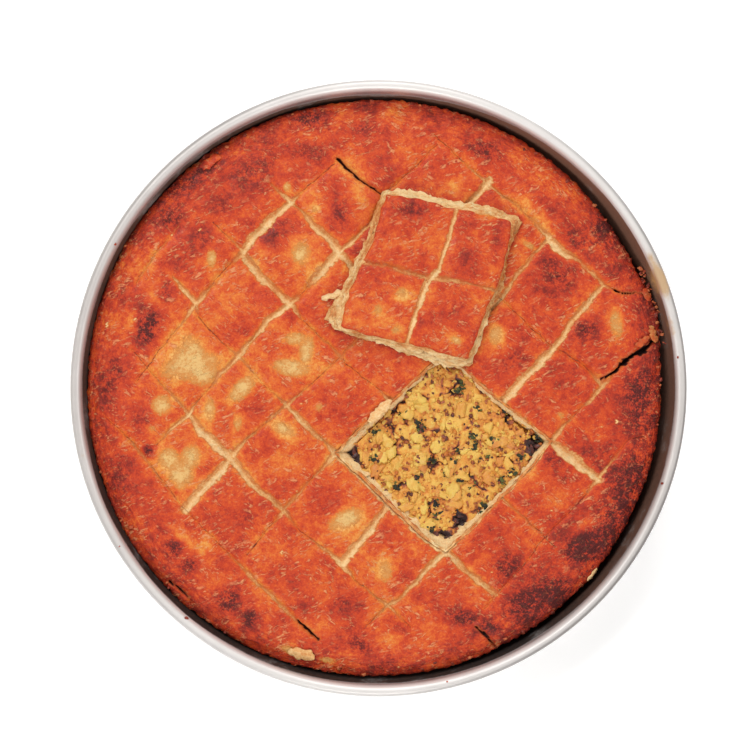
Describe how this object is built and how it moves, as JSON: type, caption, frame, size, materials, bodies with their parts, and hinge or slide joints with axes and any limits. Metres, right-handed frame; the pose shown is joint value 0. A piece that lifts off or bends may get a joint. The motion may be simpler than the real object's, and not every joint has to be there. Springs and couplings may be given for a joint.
{
  "type": "potato borek in a baking tin",
  "caption": "Round baked potato borek in a shallow metal tin, scored in diamonds, with a block of the top lifted out and laid on the pie so that the filling shows.",
  "frame": {"origin": "centre of the tin's flat underside, on the surface it stands on", "axes": "+Z up. Seen from above with +Y upwards, the hole is to the right of the middle and the lifted block lies above it"},
  "size_m": [0.36, 0.36, 0.0489],
  "materials": {
    "baking_tin": "spun, with baked-on residue inside",
    "pastry_crust": "glazed browned pastry",
    "potato_filling": "moist crumbled potato",
    "lifted_block": "glazed browned pastry with pale layered sides"
  },
  "bodies": {
    "root": {"baking_tin": "baking_tin", "pastry_crust": "pastry_crust", "potato_filling": "potato_filling", "lifted_block": "lifted_block"}
  },
  "joints": []
}
